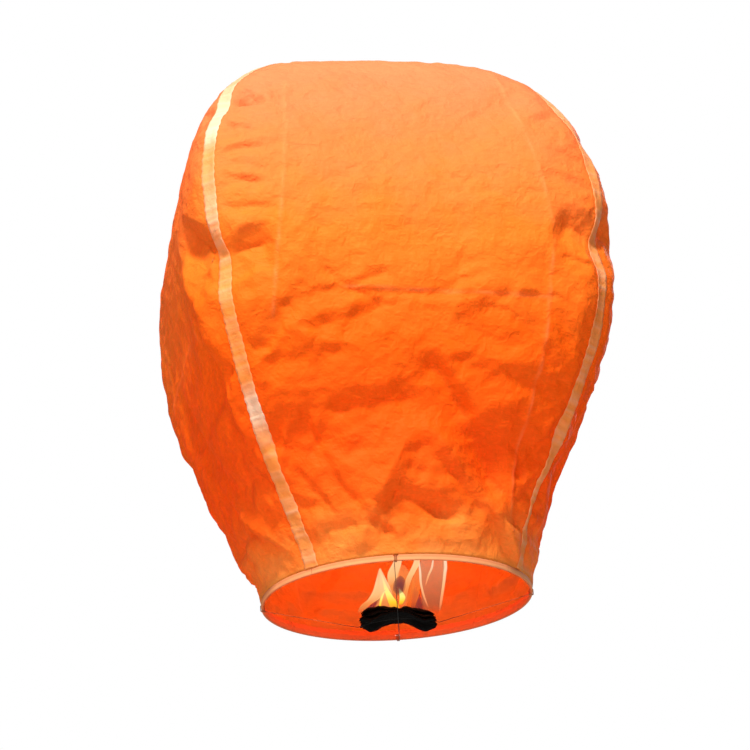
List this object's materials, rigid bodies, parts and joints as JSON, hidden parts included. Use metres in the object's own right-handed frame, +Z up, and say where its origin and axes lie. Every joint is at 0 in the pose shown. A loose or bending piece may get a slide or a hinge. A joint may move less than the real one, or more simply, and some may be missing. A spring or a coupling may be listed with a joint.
{
  "type": "sky lantern",
  "caption": "Paper sky lantern: a rounded square bag of gores on a round bamboo rim, with crossed wires that carry a charred fuel pad in its open mouth.",
  "frame": {"origin": "centre of the rim's lower face, level with the mouth; the fuel pad hangs below it", "axes": "+Z up the bag's axis to the crown; +X along the long cross wire and the fuel pad's length; -Y towards the front gore, which is turned 9 degrees towards +X"},
  "size_m": [0.6544, 0.6544, 0.8462],
  "materials": {
    "lantern_paper": "satin",
    "seam_paper": "satin",
    "hem_paper": "matte",
    "band_paper": "matte",
    "bamboo": "satin",
    "iron_wire": "matte",
    "charred_wax_paper": "matte"
  },
  "bodies": {
    "frame": {"paper_panel_front": "lantern_paper", "paper_panel_right": "lantern_paper", "paper_panel_back": "lantern_paper", "paper_panel_left": "lantern_paper", "seam_strip_front_right": "seam_paper", "seam_strip_back_right": "seam_paper", "seam_strip_back_left": "seam_paper", "seam_strip_front_left": "seam_paper", "bamboo_hoop": "bamboo", "lap_band_first": "band_paper", "lap_band_second": "band_paper", "hem_front": "hem_paper", "hem_right": "hem_paper", "hem_back": "hem_paper", "hem_left": "hem_paper", "cross_wire_long": "iron_wire", "cross_wire_short": "iron_wire", "fuel_prong": "iron_wire"},
    "crown": {"crown_patch": "seam_paper"},
    "fuel": {"fuel_layer_bottom": "charred_wax_paper", "fuel_layer_middle": "charred_wax_paper", "fuel_layer_top": "charred_wax_paper"}
  },
  "joints": [
    {"name": "bag_collapse", "type": "slide", "parent": "frame", "child": "crown", "axis": [0, 0, 1], "range_m": [-0.72, 0], "deforming": ["paper_panel_front", "paper_panel_right", "paper_panel_back", "paper_panel_left", "seam_strip_front_right", "seam_strip_back_right", "seam_strip_back_left", "seam_strip_front_left"]},
    {"name": "fuel_lift", "type": "slide", "parent": "frame", "child": "fuel", "axis": [0, 0, 1], "range_m": [0, 0.06]}
  ]
}
